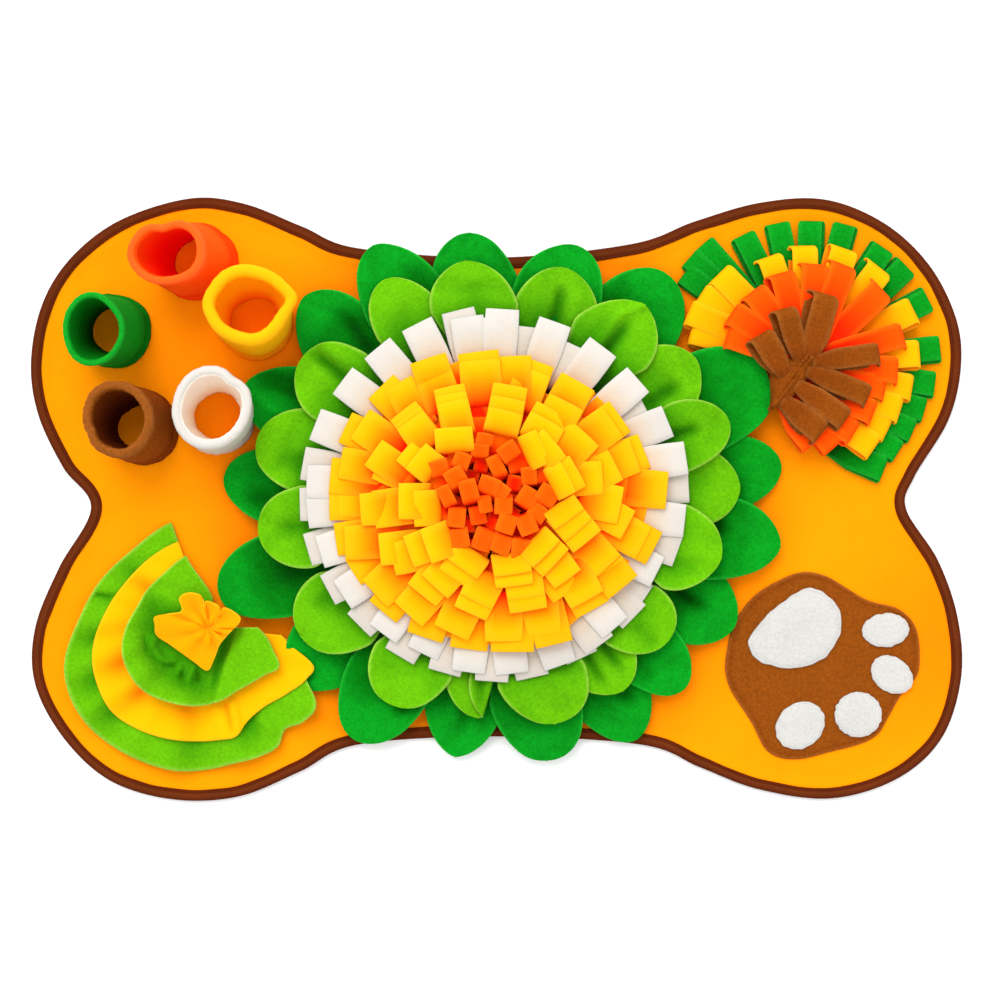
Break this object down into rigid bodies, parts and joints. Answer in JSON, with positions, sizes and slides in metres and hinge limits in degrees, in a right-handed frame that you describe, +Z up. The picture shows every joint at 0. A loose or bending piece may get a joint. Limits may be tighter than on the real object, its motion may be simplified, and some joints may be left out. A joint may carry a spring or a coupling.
{
  "type": "snuffle mat",
  "caption": "Bone-shaped fleece snuffle mat with a fringed flower, soft open cups, a fan of folded strips, a gathered ruffle with a bow, and a paw, for hiding dry treats.",
  "frame": {"origin": "under the middle of the mat, on the surface that it lies on", "axes": "+X along the mat's length, +Y across it towards the cups and the fan, +Z up"},
  "size_m": [0.8999, 0.5823, 0.07],
  "materials": {
    "mat_orange": "matt, brushed",
    "binding_brown": "matt tape",
    "dark_green_fleece": "matt, brushed",
    "light_green_fleece": "matt, brushed",
    "white_fleece": "matt, brushed",
    "yellow_fleece": "matt, brushed",
    "orange_fleece": "matt, brushed",
    "red_orange_fleece": "matt, brushed",
    "brown_fleece": "matt, brushed"
  },
  "bodies": {
    "root": {"binding": "binding_brown", "bow": "yellow_fleece", "cup_brown": "brown_fleece", "cup_green": "dark_green_fleece", "cup_red": "red_orange_fleece", "cup_white": "white_fleece", "cup_yellow": "yellow_fleece", "fan_brown": "brown_fleece", "fan_green": "dark_green_fleece", "fan_orange": "orange_fleece", "fan_yellow": "yellow_fleece", "fringe_orange": "orange_fleece", "fringe_white": "white_fleece", "fringe_yellow": "yellow_fleece", "mat": "mat_orange", "paw": "brown_fleece", "paw_pad": "white_fleece", "paw_toe_1": "white_fleece", "paw_toe_2": "white_fleece", "paw_toe_3": "white_fleece", "paw_toe_4": "white_fleece", "petal_dark_01": "dark_green_fleece", "petal_dark_02": "dark_green_fleece", "petal_dark_03": "dark_green_fleece", "petal_dark_04": "dark_green_fleece", "petal_dark_05": "dark_green_fleece", "petal_dark_06": "dark_green_fleece", "petal_dark_07": "dark_green_fleece", "petal_dark_08": "dark_green_fleece", "petal_dark_09": "dark_green_fleece", "petal_dark_10": "dark_green_fleece", "petal_dark_11": "dark_green_fleece", "petal_dark_12": "dark_green_fleece", "petal_dark_13": "dark_green_fleece", "petal_dark_14": "dark_green_fleece", "petal_dark_15": "dark_green_fleece", "petal_dark_16": "dark_green_fleece", "petal_dark_17": "dark_green_fleece", "petal_dark_18": "dark_green_fleece", "petal_light_01": "light_green_fleece", "petal_light_02": "light_green_fleece", "petal_light_03": "light_green_fleece", "petal_light_04": "light_green_fleece", "petal_light_05": "light_green_fleece", "petal_light_06": "light_green_fleece", "petal_light_07": "light_green_fleece", "petal_light_08": "light_green_fleece", "petal_light_09": "light_green_fleece", "petal_light_10": "light_green_fleece", "petal_light_11": "light_green_fleece", "petal_light_12": "light_green_fleece", "petal_light_13": "light_green_fleece", "petal_light_14": "light_green_fleece", "petal_light_15": "light_green_fleece", "petal_light_16": "light_green_fleece", "petal_light_17": "light_green_fleece", "ruffle_lower_green": "light_green_fleece", "ruffle_upper_green": "light_green_fleece", "ruffle_yellow": "yellow_fleece"}
  },
  "joints": []
}
